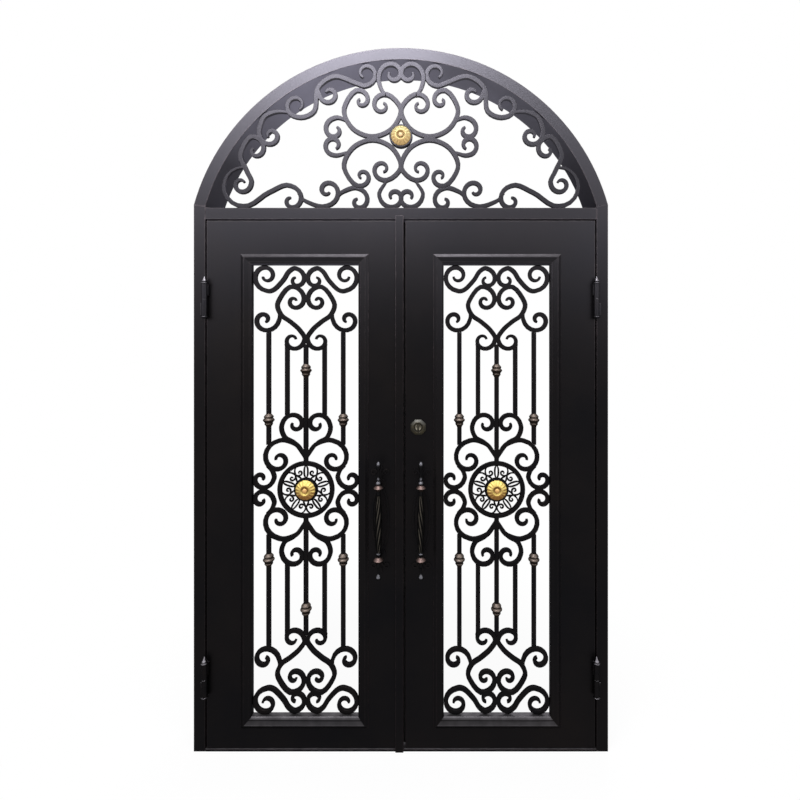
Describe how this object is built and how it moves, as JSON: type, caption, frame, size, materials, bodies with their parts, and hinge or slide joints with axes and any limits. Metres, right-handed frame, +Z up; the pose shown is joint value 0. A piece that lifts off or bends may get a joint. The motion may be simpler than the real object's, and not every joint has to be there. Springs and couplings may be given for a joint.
{
  "type": "arched wrought iron double door with scrollwork transom",
  "caption": "Arched double door in a steel frame, with scrollwork grilles, gilt rosettes, twisted pull handles, barrel hinges and a fixed scrollwork transom.",
  "frame": {"origin": "middle of the frame's flat underside, at the middle of its depth", "axes": "+X to the right seen from the street side, +Y into the building, +Z up"},
  "size_m": [1.83, 0.233, 3.108],
  "materials": {
    "wrought_iron": "satin",
    "handle_iron": "rubbed satin",
    "rubbed_collar": "rubbed bronze",
    "gilt": "satin gilt",
    "lock_bronze": "aged bronze"
  },
  "bodies": {
    "frame": {"left_jamb": "wrought_iron", "right_jamb": "wrought_iron", "arch_head": "wrought_iron", "transom_bar": "wrought_iron", "threshold": "wrought_iron", "door_stops": "wrought_iron", "transom_centre_scrolls": "wrought_iron", "transom_left_scrolls": "wrought_iron", "transom_right_scrolls": "wrought_iron", "transom_rosette": "gilt", "left_hinge_posts": "wrought_iron", "right_hinge_posts": "wrought_iron"},
    "left_leaf": {"left_leaf_frame": "wrought_iron", "left_front_moulding": "wrought_iron", "left_back_moulding": "wrought_iron", "left_top_scrolls": "wrought_iron", "left_centre_scrolls": "wrought_iron", "left_bottom_scrolls": "wrought_iron", "left_uprights": "wrought_iron", "left_collars": "rubbed_collar", "left_tracery": "wrought_iron", "left_rosette": "gilt", "left_hinge_knuckles": "wrought_iron", "left_pull_handle": "handle_iron", "left_inner_pull_handle": "handle_iron", "left_handle_posts": "handle_iron", "left_handle_plates": "handle_iron", "meeting_strip": "wrought_iron"},
    "right_leaf": {"right_leaf_frame": "wrought_iron", "right_front_moulding": "wrought_iron", "right_back_moulding": "wrought_iron", "right_top_scrolls": "wrought_iron", "right_centre_scrolls": "wrought_iron", "right_bottom_scrolls": "wrought_iron", "right_uprights": "wrought_iron", "right_collars": "rubbed_collar", "right_tracery": "wrought_iron", "right_rosette": "gilt", "right_hinge_knuckles": "wrought_iron", "right_pull_handle": "handle_iron", "right_inner_pull_handle": "handle_iron", "right_handle_posts": "handle_iron", "right_handle_plates": "handle_iron", "deadbolt_rosette": "lock_bronze", "deadbolt_inner_rosette": "lock_bronze"},
    "lock_plug": {"key_plug": "lock_bronze"}
  },
  "joints": [
    {"name": "left_leaf_swing", "type": "hinge", "parent": "frame", "child": "left_leaf", "pos_m": [-0.858, -0.092, 0.333], "axis": [0, 0, -1], "range_deg": [0, 110]},
    {"name": "right_leaf_swing", "type": "hinge", "parent": "frame", "child": "right_leaf", "pos_m": [0.858, -0.092, 0.333], "axis": [0, 0, 1], "range_deg": [0, 110]},
    {"name": "key_plug_turn", "type": "hinge", "parent": "right_leaf", "child": "lock_plug", "pos_m": [0.077, -0.082, 1.433], "axis": [0, 1, 0], "range_deg": [-90, 90]}
  ]
}
